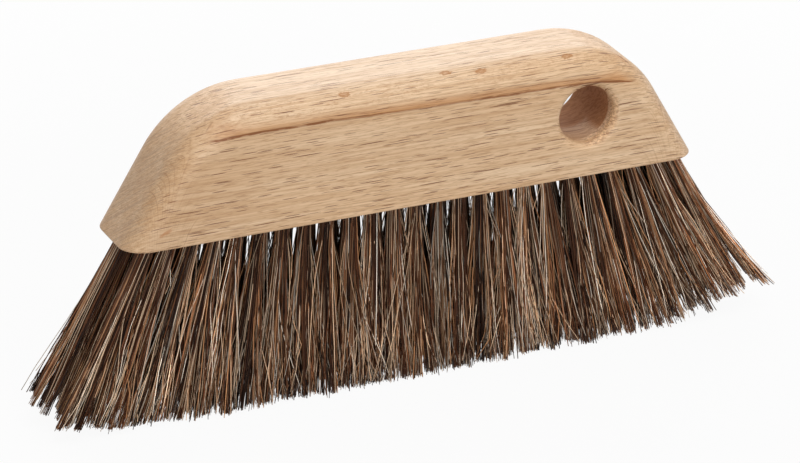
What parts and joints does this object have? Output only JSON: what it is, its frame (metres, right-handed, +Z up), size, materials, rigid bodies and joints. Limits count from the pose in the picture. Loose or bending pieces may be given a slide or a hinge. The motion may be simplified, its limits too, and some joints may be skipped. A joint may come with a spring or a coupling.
{
  "type": "hand broom",
  "caption": "Hand broom: a beech block with sloped rounded ends and a hang hole, set in a fan with staggered rows of natural bristle tufts.",
  "frame": {"origin": "middle of the plane of the bristle tips, straight below the middle of the block", "axes": "+X along the block towards the hang hole, +Y across it to the rear, +Z up from the tips to the block"},
  "size_m": [0.3112, 0.0344, 0.12],
  "materials": {
    "beech": "bare sanded beech, satin, with fine dark flecks along the grain",
    "bristle": "natural hair mixed dark brown, tan and off-white",
    "anchor_wire": "plain drawn steel wire, flat"
  },
  "bodies": {
    "root": {"block": "beech", "tuft_middle_01": "bristle", "tuft_middle_02": "bristle", "tuft_middle_03": "bristle", "tuft_middle_04": "bristle", "tuft_middle_05": "bristle", "tuft_middle_06": "bristle", "tuft_middle_07": "bristle", "tuft_middle_08": "bristle", "tuft_middle_09": "bristle", "tuft_middle_10": "bristle", "tuft_middle_11": "bristle", "tuft_middle_12": "bristle", "tuft_middle_13": "bristle", "tuft_middle_14": "bristle", "tuft_middle_15": "bristle", "tuft_middle_16": "bristle", "tuft_middle_17": "bristle", "tuft_middle_18": "bristle", "tuft_middle_19": "bristle", "tuft_middle_20": "bristle", "tuft_middle_21": "bristle", "tuft_middle_22": "bristle", "tuft_middle_23": "bristle", "tuft_middle_24": "bristle", "tuft_middle_25": "bristle", "tuft_pair_01": "bristle", "tuft_pair_02": "bristle", "tuft_pair_03": "bristle", "tuft_pair_04": "bristle", "tuft_pair_05": "bristle", "tuft_pair_06": "bristle", "tuft_pair_07": "bristle", "tuft_pair_08": "bristle", "tuft_pair_09": "bristle", "tuft_pair_10": "bristle", "tuft_pair_11": "bristle", "tuft_pair_12": "bristle", "tuft_pair_13": "bristle", "tuft_pair_14": "bristle", "tuft_pair_15": "bristle", "tuft_pair_16": "bristle", "tuft_pair_17": "bristle", "tuft_pair_18": "bristle", "tuft_pair_19": "bristle", "tuft_pair_20": "bristle", "tuft_pair_21": "bristle", "tuft_pair_22": "bristle", "tuft_pair_23": "bristle", "tuft_pair_24": "bristle", "tuft_pair_25": "bristle", "anchors_front_row": "anchor_wire", "anchors_middle_row": "anchor_wire", "anchors_rear_row": "anchor_wire"}
  },
  "joints": []
}
